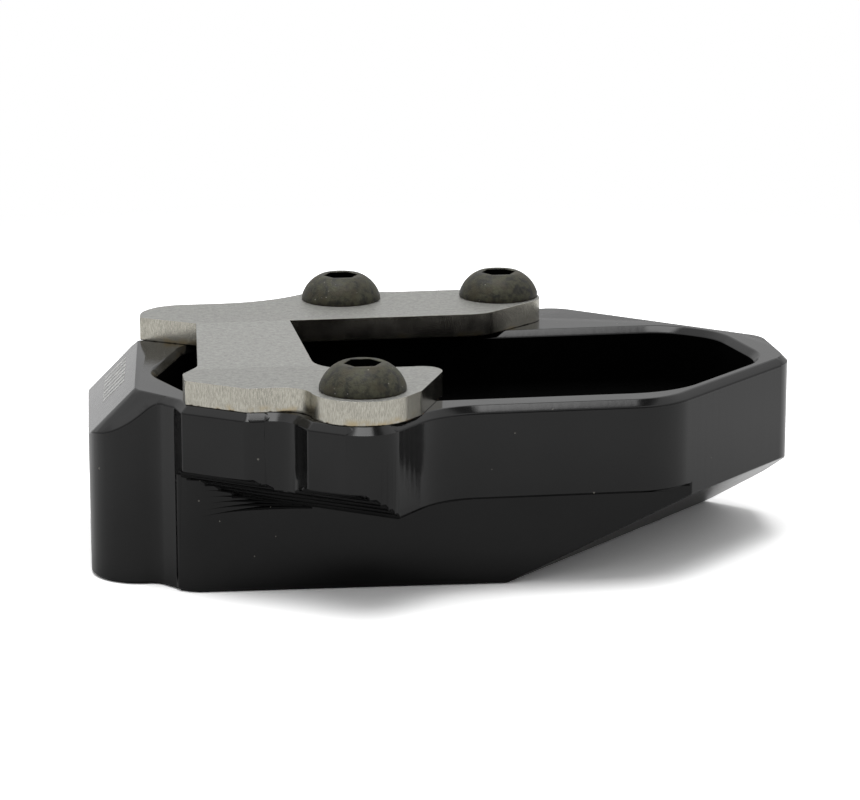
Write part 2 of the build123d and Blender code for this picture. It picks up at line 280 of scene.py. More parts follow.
class Paint(Graph):
    """Material node tree with short calls for the nodes that the finishes share."""

    def __init__(self, name: str) -> None:
        """Start an empty material.

        Args:
            name: Name of the material.
        """
        self.material = bpy.data.materials.new(name)
        self.material.use_nodes = True
        super().__init__(self.material.node_tree)

    def millimetres(self) -> Socket:
        """Object coordinates counted in millimetres."""
        place = self.add("ShaderNodeTexCoord").outputs["Object"]
        return self.stretch(place, (1 / MM, 1 / MM, 1 / MM))

    def stretch(self, vector: Socket, scale: Triple) -> Socket:
        """Scale a vector by axis."""
        return self.add("ShaderNodeMapping", {"Vector": vector, "Scale": scale}).outputs["Vector"]

    def turn(self, vector: Socket, degrees: Triple) -> Socket:
        """Turn a vector about the three axes."""
        angles = tuple(math.radians(value) for value in degrees)
        return self.add("ShaderNodeMapping", {"Vector": vector, "Rotation": angles}).outputs["Vector"]

    def noise(self, place: Socket, grain: Grain) -> Socket:
        """Lay noise over a surface.

        Args:
            place: Coordinates in millimetres.
            grain: Kind of noise.

        Returns:
            Values around 0.5.
        """
        vector = self.stretch(place, grain.stretch) if grain.stretch else place
        feeds = {"Vector": vector, "Scale": grain.scale, "Detail": grain.detail, "Roughness": grain.rough}
        return self.add("ShaderNodeTexNoise", feeds).outputs["Fac"]

    def specks(self, place: Socket, specks: Specks) -> Socket:
        """Mask of scattered dots.

        Args:
            place: Coordinates in millimetres.
            specks: Kind of dots.

        Returns:
            1 on a dot and 0 elsewhere.
        """
        cells = self.add("ShaderNodeTexVoronoi", {"Vector": place, "Scale": specks.scale})
        chance = self.add("ShaderNodeSeparateColor", {"Color": cells.outputs["Color"]})
        chosen = self.math("LESS_THAN", chance.outputs["Red"], specks.share)
        size = self.times(chance.outputs["Green"], specks.radius)
        near = self.math("LESS_THAN", cells.outputs["Distance"], size)
        return self.times(chosen, near)

    def blend(self, first: Socket, second: Socket, share: float) -> Socket:
        """Value between two values, with a share of the first."""
        return self.math("ADD", self.times(first, share), self.times(second, 1.0 - share))

    def mix(self, share: Feed, first: Feed, second: Feed) -> Socket:
        """Colour between two colours, with a share of the second."""
        feeds = {MIX_SHARE: share, MIX_FIRST: first, MIX_SECOND: second}
        return self.add("ShaderNodeMix", feeds, data_type="RGBA").outputs[MIX_RESULT]

    def scaled(self, colour: Socket, factor: Socket) -> Socket:
        """Colour times a value."""
        feeds = {0: colour, "Scale": factor}
        return self.add("ShaderNodeVectorMath", feeds, operation="SCALE").outputs["Vector"]

    def bump(self, height: Socket, depth_mm: float, below: Socket | None = None) -> Socket:
        """Normal of a surface raised by a height map.

        Args:
            height: Height from 0 to 1.
            depth_mm: Height of the relief.
            below: Normal of another relief under this one.

        Returns:
            The bent normal.
        """
        feeds: dict[str | int, Feed] = {"Height": height, "Strength": 1.0, "Distance": depth_mm * MM}
        if below is not None:
            feeds["Normal"] = below
        return self.add("ShaderNodeBump", feeds).outputs["Normal"]

    def finish(self, shader: Socket) -> Material:
        """Send a shader to the output and return the material."""
        self.add("ShaderNodeOutputMaterial", {"Surface": shader})
        return self.material

    def principled(self, feeds: dict[str | int, Feed]) -> Material:
        """Finish the material with a Principled shader."""
        return self.finish(self.add("ShaderNodeBsdfPrincipled", feeds).outputs["BSDF"])


def grey(value: float) -> Colour:
    """Neutral colour of a linear value."""
    return (value, value, value, 1.0)


@dataclass(frozen=True)
class AnodisedFinish:
    """Satin black anodised aluminium with upright tool marks, short scratches and a little dust."""

    name: str = "anodised_black"
    ior: float = 1.38
    dark: Colour = (0.0016, 0.0016, 0.0017, 1.0)
    light: Colour = (0.003, 0.003, 0.003, 1.0)
    cloud: Grain = Grain(0.12, 3.0)
    cloud_limits: Pair = (0.35, 0.65)
    rough: Pair = (0.11, 0.14)
    dust: Colour = (0.13, 0.125, 0.11, 1.0)
    dust_specks: Specks = Specks(0.42, 0.065, 0.5)
    marks_rough: float = 0.4  # added on dust and scratches
    scratch_specks: Specks = Specks(1.0, 0.035, 0.08)
    scratch_turn: Triple = (35.0, 15.0, 20.0)
    scratch_stretch: Triple = (0.5, 0.5, 0.06)
    streaks: Grain = Grain(1.0, 3.0, stretch=(1.3, 1.3, 0.03))
    streaks_mm: float = 0.007
    grain: Grain = Grain(9.0)
    grain_mm: float = 0.003
    sweep_mm: float = 0.006
    sweep_centre: Triple = (1.2, -35.05, 0.0)
    sweep_step: float = 0.0475  # radians from a facet's valley to its ridge
    sweep_turn: Pair = (2.42, 2.8)  # radians at the first and the last facet
    sweep_reach: float = 12.2
    sweep_fade: Pair = (14.5, 20.5)  # heights between which the facets fade in

    def material(self) -> Material:
        """Build the material.

        Returns:
            The material.
        """
        g = Paint(self.name)
        place = g.millimetres()
        cloud = g.noise(place, self.cloud)
        dust = g.specks(place, self.dust_specks)
        slanted = g.stretch(g.turn(place, self.scratch_turn), self.scratch_stretch)
        marks = g.math("MAXIMUM", dust, g.specks(slanted, self.scratch_specks))
        black = g.mix(g.ramp(cloud, *self.cloud_limits), self.dark, self.light)
        normal = g.bump(g.noise(place, self.streaks), self.streaks_mm)
        normal = g.bump(self.sweep_facets(g, place), self.sweep_mm, normal)
        rough = g.ramp(cloud, *MOST_NOISE, *self.rough)
        feeds = {
            "Base Color": g.mix(marks, black, self.dust),
            "Roughness": g.math("ADD", rough, g.times(marks, self.marks_rough)),
            "IOR": self.ior,
            "Normal": g.bump(g.noise(place, self.grain), self.grain_mm, normal),
        }
        return g.principled(feeds)

    def sweep_facets(self, g: Paint, place: Socket) -> Socket:
        """Upright facets that the cutter left in the hollow beside the front screw.

        Args:
            g: The material's tree.
            place: Coordinates in millimetres.

        Returns:
            Height of the facets, from 0 to 1.
        """
        feeds = {0: place, 1: self.sweep_centre}
        arm = g.add("ShaderNodeVectorMath", feeds, operation="SUBTRACT").outputs["Vector"]
        x, y = g.axis(arm, "X"), g.axis(arm, "Y")
        turn = g.math("ARCTAN2", y, x)
        wave = g.math("DIVIDE", g.math("PINGPONG", turn, self.sweep_step), self.sweep_step)
        reach = g.math("SQRT", g.math("ADD", g.times(x, x), g.times(y, y)))
        first, last = self.sweep_turn
        inside = g.times(g.math("GREATER_THAN", turn, first), g.math("LESS_THAN", turn, last))
        inside = g.times(inside, g.math("LESS_THAN", reach, self.sweep_reach))
        return g.times(wave, g.times(inside, g.ramp(g.axis(place, "Z"), *self.sweep_fade)))


@dataclass(frozen=True)
class LiningFinish:
    """Near-black, dull painted shade inside a pocket or a socket, darker and duller than the metal around
    it.
    """

    name: str
    ior: float = 1.07
    rough: float = 0.8
    # painted shade: base colours far below those of the metal around the hollow
    dark: Colour = (0.0003, 0.0003, 0.0003, 1.0)
    light: Colour = (0.0011, 0.0011, 0.0011, 1.0)
    cloud: Grain = Grain(0.5, 3.0)
    grain: Grain = Grain(1.6, 3.0)
    grain_mm: float = 0.03

    def material(self) -> Material:
        """Build the material.

        Returns:
            The material.
        """
        g = Paint(self.name)
        place = g.millimetres()
        colour = g.mix(g.noise(place, self.cloud), self.dark, self.light)
        normal = g.bump(g.noise(place, self.grain), self.grain_mm)
        feeds = {"Base Color": colour, "Roughness": self.rough, "IOR": self.ior, "Normal": normal}
        return g.principled(feeds)


@dataclass(frozen=True)
class MottledFinish:
    """Dull surface, mottled between two colours."""

    name: str
    dark: Colour
    light: Colour
    cloud: Grain
    cloud_limits: Pair
    grain: Grain
    grain_mm: float
    rough: float

    def material(self) -> Material:
        """Build the material.

        Returns:
            The material.
        """
        g = Paint(self.name)
        place = g.millimetres()
        colour = g.mix(g.ramp(g.noise(place, self.cloud), *self.cloud_limits), self.dark, self.light)
        normal = g.bump(g.noise(place, self.grain), self.grain_mm)
        return g.principled({"Base Color": colour, "Roughness": self.rough, "Normal": normal})


ETCHED = MottledFinish(
    "etched_grey",
    dark=(0.36, 0.36, 0.35, 1.0),
    light=(0.55, 0.55, 0.535, 1.0),
    cloud=Grain(1.8, 3.0),
    cloud_limits=(0.35, 0.65),
    grain=Grain(8.0),
    grain_mm=0.01,
    rough=0.55,
)
DROSS = MottledFinish(
    "dross",
    dark=(0.012, 0.009, 0.007, 1.0),
    light=(0.11, 0.055, 0.02, 1.0),
    cloud=Grain(0.6, 3.0),
    cloud_limits=(0.45, 0.7),
    grain=Grain(9.0),
    grain_mm=0.02,
    rough=0.5,
)


@dataclass(frozen=True)
class SheetFinish:
    """Matte rolled face of the stainless sheet, with painted light that makes the web a little paler than
    the arm and the tab.
    """

    metal: float = 0.4
    rough: Pair = (0.4, 0.52)
    base: Colour = (0.255, 0.255, 0.239, 1.0)
    # painted light: colour of the lit web, also reached in places through the random cloud
    pale: Colour = (0.302, 0.302, 0.285, 1.0)
    pale_from: Pair = (-12.7, -11.7)  # Y between which the web's painted light begins at its front
    pale_to: Pair = (13.65, 14.05)  # Y between which it ends at its rear
    pale_share: float = 0.7  # share of the web's painted light, against the cloud
    cloud: Grain = Grain(0.25)
    rolled: Grain = Grain(1.0, 3.0, stretch=(0.3, 2.0, 1.0))
    rolled_mm: float = 0.003
    blotch: Grain = Grain(1.0, 3.0, stretch=(1.1, 1.5, 1.0))
    grain: Grain = Grain(3.0, 4.0, 0.65)
    grain_mm: float = 0.016
    grain_share: float = 0.7  # against the blotches
    grain_limits: Pair = (0.25, 0.75)
    grain_depth: float = 0.46  # share of the tone that it adds or takes

    def material(self) -> Material:
        """Build the material.

        Returns:
            The material.
        """
        g = Paint("stainless_face")
        place = g.millimetres()
        along = g.axis(place, "Y")
        # Painted light on the web, mixed with a random cloud of tone.
        lit_web_mask = g.times(g.ramp(along, *self.pale_from), g.ramp(along, *self.pale_to, 1.0, 0.0))
        lit_web_and_cloud = g.blend(lit_web_mask, g.noise(place, self.cloud), self.pale_share)
        grain = g.noise(place, self.grain)
        mottle = g.blend(grain, g.noise(place, self.blotch), self.grain_share)
        shade = g.ramp(mottle, *self.grain_limits, 1.0 - self.grain_depth, 1.0 + self.grain_depth)
        normal = g.bump(g.noise(place, self.rolled), self.rolled_mm)
        feeds = {
            "Base Color": g.scaled(g.mix(lit_web_and_cloud, self.base, self.pale), shade),
            "Metallic": self.metal,
            "Roughness": g.ramp(grain, *MOST_NOISE, *self.rough),
            "Normal": g.bump(grain, self.grain_mm, normal),
        }
        return g.principled(feeds)


@dataclass(frozen=True)
class CutEdgeFinish:
    """Laser-cut edge of the sheet: upright striations, a warm heat tint, and near the lower side a dark
    band that is partly soot and partly painted shade of the seam on the block.
    """

    low_z: float = 24.0
    rough: Pair = (0.2, 0.27)
    base: Colour = (0.3, 0.289, 0.25, 1.0)
    pale: Colour = (0.5, 0.482, 0.42, 1.0)
    lines: Grain = Grain(1.0, 3.0, 0.65, stretch=(9.0, 9.0, 1.6))
    lines_mm: float = 0.012
    tint: Colour = (0.4, 0.33, 0.21, 1.0)
    tint_height: Pair = (0.1, 1.1)
    tint_limits: Pair = (0.5, 0.64)
    spots: Grain = Grain(0.35, 3.0)
    # dark band along the lower side: partly soot of the cut, partly painted shade of the seam under the
    # plate
    soot: Colour = (0.03, 0.024, 0.018, 1.0)
    soot_mm: float = 0.12
    soot_edge: Grain = Grain(1.4, 3.0)
    soot_limits: Pair = (0.5, 0.75)

    def material(self) -> Material:
        """Build the material.

        Returns:
            The material.
        """
        g = Paint("stainless_cut_edge")
        place = g.millimetres()
        height = g.math("SUBTRACT", g.axis(place, "Z"), self.low_z)
        lines = g.noise(place, self.lines)
        spots = g.noise(place, self.spots)
        steel = g.mix(g.ramp(lines, *MOST_NOISE), self.base, self.pale)
        heat = g.times(g.ramp(height, *self.tint_height, 1.0, 0.0), g.ramp(spots, *self.tint_limits))
        # Soot and painted shade along the lower side, with a ragged upper edge.
        rise = g.ramp(g.noise(place, self.soot_edge), *self.soot_limits, 0.0, self.soot_mm)
        soot_and_shade_mask = g.ramp(g.math("SUBTRACT", height, rise), 0.0, self.soot_mm, 1.0, 0.0)
        feeds = {
            "Base Color": g.mix(soot_and_shade_mask, g.mix(heat, steel, self.tint), self.soot),
            "Metallic": 1.0,
            "Roughness": g.ramp(spots, *MOST_NOISE, *self.rough),
            "Normal": g.bump(lines, self.lines_mm),
        }
        return g.principled(feeds)


@dataclass(frozen=True)
class ScrewFinish:
    """Dark phosphated steel, mottled brown and grey, with pale specks and a thin dark reddish-brown ring
    where it meets the plate.
    """

    seat_z: float = 27.0
    ior: float = 1.36
    rough: Pair = (0.42, 0.6)
    dark: Colour = (0.004, 0.0038, 0.0022, 1.0)
    light: Colour = (0.052, 0.051, 0.032, 1.0)
    cloud: Grain = Grain(1.1, 6.0, 0.7)
    cloud_limits: Pair = (0.36, 0.64)
    brown: Colour = (0.036, 0.03, 0.016, 1.0)
    brown_cloud: Grain = Grain(0.45)
    brown_limits: Pair = (0.5, 0.68)
    brown_share: float = 0.7
    speck: Colour = (0.2, 0.19, 0.17, 1.0)
    specks: Specks = Specks(2.2, 0.22, 0.2)
    # thin dark reddish-brown ring just above the seat on the plate
    rust: Colour = (0.022, 0.011, 0.006, 1.0)
    rust_height: Pair = (0.06, 0.14)
    pits: Grain = Grain(3.2, 4.0, 0.6)
    pits_mm: float = 0.06

    def material(self) -> Material:
        """Build the material.

        Returns:
            The material.
        """
        g = Paint("phosphated_steel")
        place = g.millimetres()
        height = g.math("SUBTRACT", g.axis(place, "Z"), self.seat_z)
        cloud = g.noise(place, self.cloud)
        warm = g.ramp(g.noise(place, self.brown_cloud), *self.brown_limits, 0.0, self.brown_share)
        colour = g.mix(g.ramp(cloud, *self.cloud_limits), self.dark, self.light)
        colour = g.mix(warm, colour, self.brown)
        colour = g.mix(g.specks(place, self.specks), colour, self.speck)
        feeds = {
            "Base Color": g.mix(g.ramp(height, *self.rust_height, 1.0, 0.0), colour, self.rust),
            "Roughness": g.ramp(cloud, *MOST_NOISE, *self.rough),
            "IOR": self.ior,
            "Normal": g.bump(g.noise(place, self.pits), self.pits_mm),
        }
        return g.principled(feeds)


@dataclass(frozen=True)
class StageFinish:
    """White floor that keeps the shadow near the object and runs out to plain white, with painted shade
    near the object in reflections; reaches in metres.
    """

    bounce: float = 0.8
    mirrored: Pair = (0.75, 1.0)  # in reflections: darker near the object as painted shade, plain away from it
    mirrored_reach: Pair = (0.05, 0.115)
    near: float = 1.8
    fade_reach: Pair = (0.13, 0.24)

    def material(self) -> Material:
        """Build the material.

        Returns:
            The material.
        """
        g = Paint("stage_white")
        place = g.add("ShaderNodeTexCoord").outputs["Object"]
        reach = g.add("ShaderNodeVectorMath", {0: place}, operation="LENGTH").outputs["Value"]
        path = g.add("ShaderNodeLightPath")
        # Painted shade: in reflections the floor is darker near the object.
        mirrored = g.mix(g.ramp(reach, *self.mirrored_reach), *(grey(value) for value in self.mirrored))
        white = g.mix(path.outputs["Is Glossy Ray"], grey(self.bounce), mirrored)
        white = g.mix(path.outputs["Is Camera Ray"], white, grey(self.near))
        lit = g.add("ShaderNodeBsdfDiffuse", {"Color": white}).outputs[0]
        plain_white = g.add("ShaderNodeEmission", {"Color": grey(1.0), "Strength": 1.0}).outputs[0]
        far = g.times(g.ramp(reach, *self.fade_reach), g.seen_share())
        return g.finish(g.add("ShaderNodeMixShader", {0: far, 1: lit, 2: plain_white}).outputs[0])


def placed(name: str, data: bpy.types.ID) -> Object:
    """Put data into the scene as a new object.

    Args:
        name: Name of the object.
        data: Its mesh, lamp or camera.

    Returns:
        The object.
    """
    obj = bpy.data.objects.new(name, data)
    bpy.context.scene.collection.objects.link(obj)
    return obj


def merged_copy(node: Object, name: str) -> Object:
    """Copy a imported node's mesh into a new object with joined corners and whole flat faces.

    Args:
        node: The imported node's object.
        name: Name of the new piece.

    Returns:
        The new object, at the origin.
    """
    bm = bmesh.new()
    bm.from_mesh(node.data)
    bmesh.ops.remove_doubles(bm, verts=bm.verts, dist=JOIN_MM * MM)
    bmesh.ops.dissolve_limit(bm, angle_limit=math.radians(FLAT_DEG), verts=bm.verts, edges=bm.edges)
    mesh = bpy.data.meshes.new(name)
    bm.to_mesh(mesh)
    bm.free()
    return placed(name, mesh)


def plain(obj: Object) -> Object:
    """Turn an object's modifiers into its plain mesh.

    Args:
        obj: The object.

    Returns:
        The same object, without modifiers.
    """
    graph = bpy.context.evaluated_depsgraph_get()
    mesh = bpy.data.meshes.new_from_object(obj.evaluated_get(graph))
    obj.modifiers.clear()
    obj.data = mesh
    mesh.name = obj.name
    return obj


def reach_from(edge: bmesh.types.BMEdge, face: bmesh.types.BMFace) -> float:
    """How far a face reaches away from one of its edges.

    Args:
        edge: The edge.
        face: A face that has this edge.

    Returns:
        The reach, in metres.
    """
    start = edge.verts[0].co
    way = (edge.verts[1].co - start).normalized()
    return max((vertex.co - start).cross(way).length for vertex in face.verts)


def eased(
    obj: Object,
    width_mm: float,
    limit_deg: float,
    narrow_mm: float,
    heavy: Callable[[bmesh.types.BMEdge], bool] | None = None,
    heavy_times: float = 1.0,
) -> Object:
    """Break the sharp edges between wide faces and keep the other corners crisp.

    Args:
        obj: The piece.
        width_mm: Width of the broken edge.
        limit_deg: Smallest angle between faces that counts as a sharp edge.
        narrow_mm: Edges of a face that reaches less far than this stay unbroken.
        heavy: Picks the edges that are broken more widely.
        heavy_times: How many times wider these are.

    Returns:
        The same piece, with a plain mesh.
    """
    obj.data.shade_smooth()
    bm = bmesh.new()
    bm.from_mesh(obj.data)
    weights = bm.edges.layers.float.new("bevel_weight_edge")
    for edge in bm.edges:
        sharp = edge.is_manifold and edge.calc_face_angle() > math.radians(limit_deg)
        wide = all(reach_from(edge, face) > narrow_mm * MM for face in edge.link_faces)
        share = 1.0 if heavy and heavy(edge) else 1.0 / heavy_times
        edge[weights] = share if sharp and wide else 0.0
        edge.smooth = wide or not sharp
    bm.to_mesh(obj.data)
    bm.free()
    bevel = obj.modifiers.new("edge", "BEVEL")
    bevel.width = width_mm * heavy_times * MM
    bevel.segments = BREAK_SEGMENTS
    bevel.limit_method = "WEIGHT"
    bevel.use_clamp_overlap = False
    flat = obj.modifiers.new("shading", "WEIGHTED_NORMAL")
    flat.keep_sharp = True
    return plain(obj)


def dress_faces(
    mesh: bpy.types.Mesh,
    coats: list[Material],
    choose: Callable[[Face], IntEnum],
) -> None:
    """Give a mesh its materials and each face one of them.

    Args:
        mesh: The mesh.
        coats: The materials, in their order.
        choose: Gives the place of a face's material in this order.
    """
    mesh.materials.clear()
    for coat in coats:
        mesh.materials.append(coat)
    for face in mesh.polygons:
        face.material_index = choose(face)


def settle(piece: Object, node: str | None = None) -> None:
    """Give a piece its place in the frame.

    Args:
        piece: The finished piece.
        node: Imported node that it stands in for, if any.
    """
    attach(piece, BODY)
    if node:
        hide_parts(node)


def between(span: Span, share: float) -> Vector:
    """Point on a straight span, at a share of its length."""
    return Vector(span[0]).lerp(Vector(span[1]), share)


@dataclass(frozen=True)
class MillingFan:
    """Tapering marks that the cutter left on the lower face, where its steps run out to the left, dark with
    the steps' painted shade.

    The strokes' thin ends, bends and roots each lie along a span of X and Z.
    """

    count: int = 6
    thin_span: Span = ((-32.3, 13.9), (-32.1, 9.75))
    thin_bulge: float = 1.1
    bend_span: Span = ((-28.6, 13.4), (-26.2, 10.95))
    root_span: Span = ((-24.8, 11.8), (-18.7, 10.65))
    radius: float = 0.26
    thin_share: float = 0.02  # of the radius, at the thin end
    full_at: float = 0.72  # share of the length at which the radius is full
    points: int = 20
    sides: int = 10

    def stroke(self, share: float) -> list[Vector]:
        """Points of one stroke.

        Args:
            share: Which stroke, from 0 for the highest to 1 for the lowest.

        Returns:
            X and Z of its points, from the thin end to the root.
        """
        bulge = Vector((self.thin_bulge * math.sin(math.pi * share), 0.0))
        thin = between(self.thin_span, share) + bulge
        bend = between(self.bend_span, share)
        root = between(self.root_span, share)
        steps = [step / (self.points - 1) for step in range(self.points)]
        return [thin.lerp(bend, step).lerp(bend.lerp(root, step), step) for step in steps]

    def wire(self, wall: Face) -> Object:
        """Lay the strokes as wires on a wall.

        Args:
            wall: Upright face that the strokes lie on.

        Returns:
            An object with one wire per stroke.
        """
        out, place = wall.normal, wall.center / MM
        spots, edges = [], []
        for index in range(self.count):
            for step, (x, z) in enumerate(self.stroke(index / (self.count - 1))):
                y = place.y - (x - place.x) * out.x / out.y
                spots.append(Vector((x, y, z)) * MM)
                if step:
                    edges.append((len(spots) - 2, len(spots) - 1))
        mesh = bpy.data.meshes.new("milling_fan")
        mesh.from_pydata(spots, edges, [])
        return placed("milling_fan", mesh)

    def grow(self, wall: Face, finish: Material) -> Object:
        """Grow tapering marks along the strokes.

        Args:
            wall: Upright face that the strokes lie on.
            finish: Material of the marks.

        Returns:
            The marks as a plain mesh.
        """
        knobs = {
            "Radius": self.radius * MM,
            "Thin": self.thin_share,
            "Full": self.full_at,
            "Sides": self.sides,
            "Material": finish,
        }
        g = Growth("milling_fan", knobs)
        curve = g.add("GeometryNodeMeshToCurve", {"Mesh": g.inputs["Geometry"]}).outputs["Curve"]
        along = g.add("GeometryNodeSplineParameter").outputs["Factor"]
        taper = g.ramp(along, 0.0, g.inputs["Full"], g.inputs["Thin"], 1.0)
        ring = {"Resolution": g.inputs["Sides"], "Radius": g.inputs["Radius"]}
        profile = g.add("GeometryNodeCurvePrimitiveCircle", ring).outputs["Curve"]
        feeds = {"Curve": curve, "Profile Curve": profile, "Scale": taper, "Fill Caps": True}
        marks = g.grow(g.add("GeometryNodeCurveToMesh", feeds).outputs["Mesh"], self.wire(wall))
        marks.data.shade_smooth()
        return marks


@dataclass
class FootBody:
    """The milled foot block, with painted shade in its pocket, on its lower face and on its steps, plain
    bars on its left facet and milling marks.
    """

    nodes: dict[str, Object]
    edge: float = 0.18
    edge_limit: float = 20.0
    narrow: float = 0.65
    rim: float = 0.9
    inward: float = 4.0  # how squarely a pocket wall looks at the middle
    square: float = 0.95  # least share of a normal that counts as along an axis
    overhang: float = 0.1  # most downward share of the normal of a face that gets the pocket's painted shade
    shelf_z: float = 16.0
    steps_z: float = 8.0
    step_height: float = 1.6
    steps_end_x: float = 27.8
    band_x: Pair = (-8.0, 20.0)
    band_times: float = 2.2
    band_down: float = 0.6  # least downward share of the normal under the band
    band_front: float = 0.3  # least front share of the band's normal, and limit of its upward share
    facet_lean: float = 0.6  # least left and upward shares of the facet's normal
    bar_count: int = 7
    bar_pitch: float = 2.1
    bar_size: Triple = (3.9, 1.1, 0.04)
    bars_middle: Triple = (-40.7, 9.3, 21.0)
    finish: AnodisedFinish = AnodisedFinish()
    # painted shade: a copy of the anodised finish with a lower IOR, so with less sheen, for the lower face
    # under the band
    lower: AnodisedFinish = AnodisedFinish("anodised_lower_shaded", ior=1.345)
    # painted shade: a copy with still less sheen for the steps and the milling marks
    steps: AnodisedFinish = AnodisedFinish("anodised_steps_shaded", ior=1.17)
    # painted shade: a near-black, dull finish for the inside of the pocket
    lining: LiningFinish = LiningFinish("pocket_painted_shade")
    etched: MottledFinish = ETCHED
    fan: MillingFan = MillingFan()

    def build(self) -> list[Object]:
        """Make the block with its edges broken, the bars and the milling marks.

        Returns:
            The pieces.
        """
        self.low, self.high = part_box("foot_body")
        copy = merged_copy(self.nodes["foot_body"], "milled_foot")
        self.block = eased(copy, self.edge, self.edge_limit, self.narrow, self.under_band, self.band_times)
        self.bars = self.grow_bars()
        # The steps' painted shade, also given to the milling marks.
        self.step_material = self.steps.material()
        self.marks = self.fan.grow(self.lower_wall(), self.step_material)
        return [self.block, self.bars, self.marks]

    def under_band(self, edge: bmesh.types.BMEdge) -> bool:
        """Whether an edge runs along the lower front of the band, where its break shows as a dark line.

        Args:
            edge: An edge of the block.

        Returns:
            True for such an edge.
        """
        lean = self.band_front
        middle = (edge.verts[0].co + edge.verts[1].co) / 2 / MM
        below = any(face.normal.z < -self.band_down for face in edge.link_faces)
        front = any(face.normal.y < -lean and abs(face.normal.z) < lean for face in edge.link_faces)
        first, last = self.band_x
        return below and front and middle.z > self.steps_z and first < middle.x < last

    def lower_wall(self) -> Face:
        """Find the lower face.

        Returns:
            The largest upright face of the front that stays below the shelf.
        """
        mesh = self.block.data
        walls = []
        for face in mesh.polygons:
            top = max(mesh.vertices[index].co.z for index in face.vertices)
            if face.normal.y < -self.square and top < self.shelf_z * MM:
                walls.append(face)
        return max(walls, key=lambda face: face.area)

    def facet_frame(self) -> Matrix:
        """Frame on the left facet.

        Returns:
            Its matrix, with x down the slope, y along it and z out of it, at the middle of the bars.
        """
        lean, faces = self.facet_lean, self.block.data.polygons
        slopes = [face for face in faces if face.normal.x < -lean and face.normal.z > lean]
        facet = max(slopes, key=lambda face: face.area)
        out = facet.normal.copy()
        along = out.cross(Vector((0.0, 0.0, 1.0))).normalized()
        down = out.cross(along)
        frame = Matrix((down, along, out)).transposed().to_4x4()
        middle = Vector(self.bars_middle) * MM
        frame.translation = middle - out * out.dot(middle - facet.center)
        return frame

    def grow_bars(self) -> Object:
        """Lay a row of plain bars on the facet.

        Returns:
            The bars as a plain mesh.
        """
        length, width, height = (value * MM for value in self.bar_size)
        knobs = {
            "Count": self.bar_count,
            "Pitch": self.bar_pitch * MM,
            "Length": length,
            "Width": width,
            "Height": height,
            "Material": self.etched.material(),
        }
        g = Growth("facet_bars", knobs)
        row = {"Count": g.inputs["Count"], "Offset": g.vector(y=g.inputs["Pitch"])}
        line = g.add("GeometryNodeMeshLine", row, mode="OFFSET").outputs["Mesh"]
        size = g.vector(g.inputs["Length"], g.inputs["Width"], g.inputs["Height"])
        bar = g.add("GeometryNodeMeshCube", {"Size": size}).outputs["Mesh"]
        bars = g.add("GeometryNodeInstanceOnPoints", {"Points": line, "Instance": bar}).outputs["Instances"]
        obj = g.grow(bars, placed("facet_bars", bpy.data.meshes.new("facet_bars")))
        half = (self.bar_count - 1) / 2 * self.bar_pitch
        start = Matrix.Translation((0.0, -half * MM, 0.0))
        obj.data.transform(self.facet_frame() @ start)
        return obj

    def coat(self, face: Face) -> FootCoat:
        """Choose a face's finish.

        Args:
            face: A face of the block.

        Returns:
            The finish.
        """
        middle = (self.low + self.high) / 2
        walled = face.normal.xy.dot(middle.xy - face.center.xy) > self.inward * MM
        deep = middle.z < face.center.z < self.high.z - self.rim * MM
        # The pocket's walls and floor get painted shade.
        if deep and (walled or face.normal.z > self.square) and face.normal.z > -self.overhang:
            return FootCoat.SHADED_LINING
        heights = [self.block.data.vertices[index].co.z / MM for index in face.vertices]
        bottom, top = min(heights), max(heights)
        # Faces below the shelf get the lower face's painted shade.
        if top >= self.shelf_z:
            return FootCoat.OUTSIDE
        # Thin steps left of steps_end_x get the darker painted shade of the steps.
        step = bottom > self.steps_z and top - bottom < self.step_height
        return FootCoat.STEPS if step and face.center.x < self.steps_end_x * MM else FootCoat.LOWER

    def dress(self) -> None:
        """Give the block its finishes, with painted shade in the pocket, on the lower face and on the
        steps, and the pieces their places in the frame.
        """
        coats = [self.finish.material(), self.lining.material(), self.lower.material(), self.step_material]
        dress_faces(self.block.data, coats, self.coat)
        settle(self.block, "foot_body")
        settle(self.bars)
        settle(self.marks)


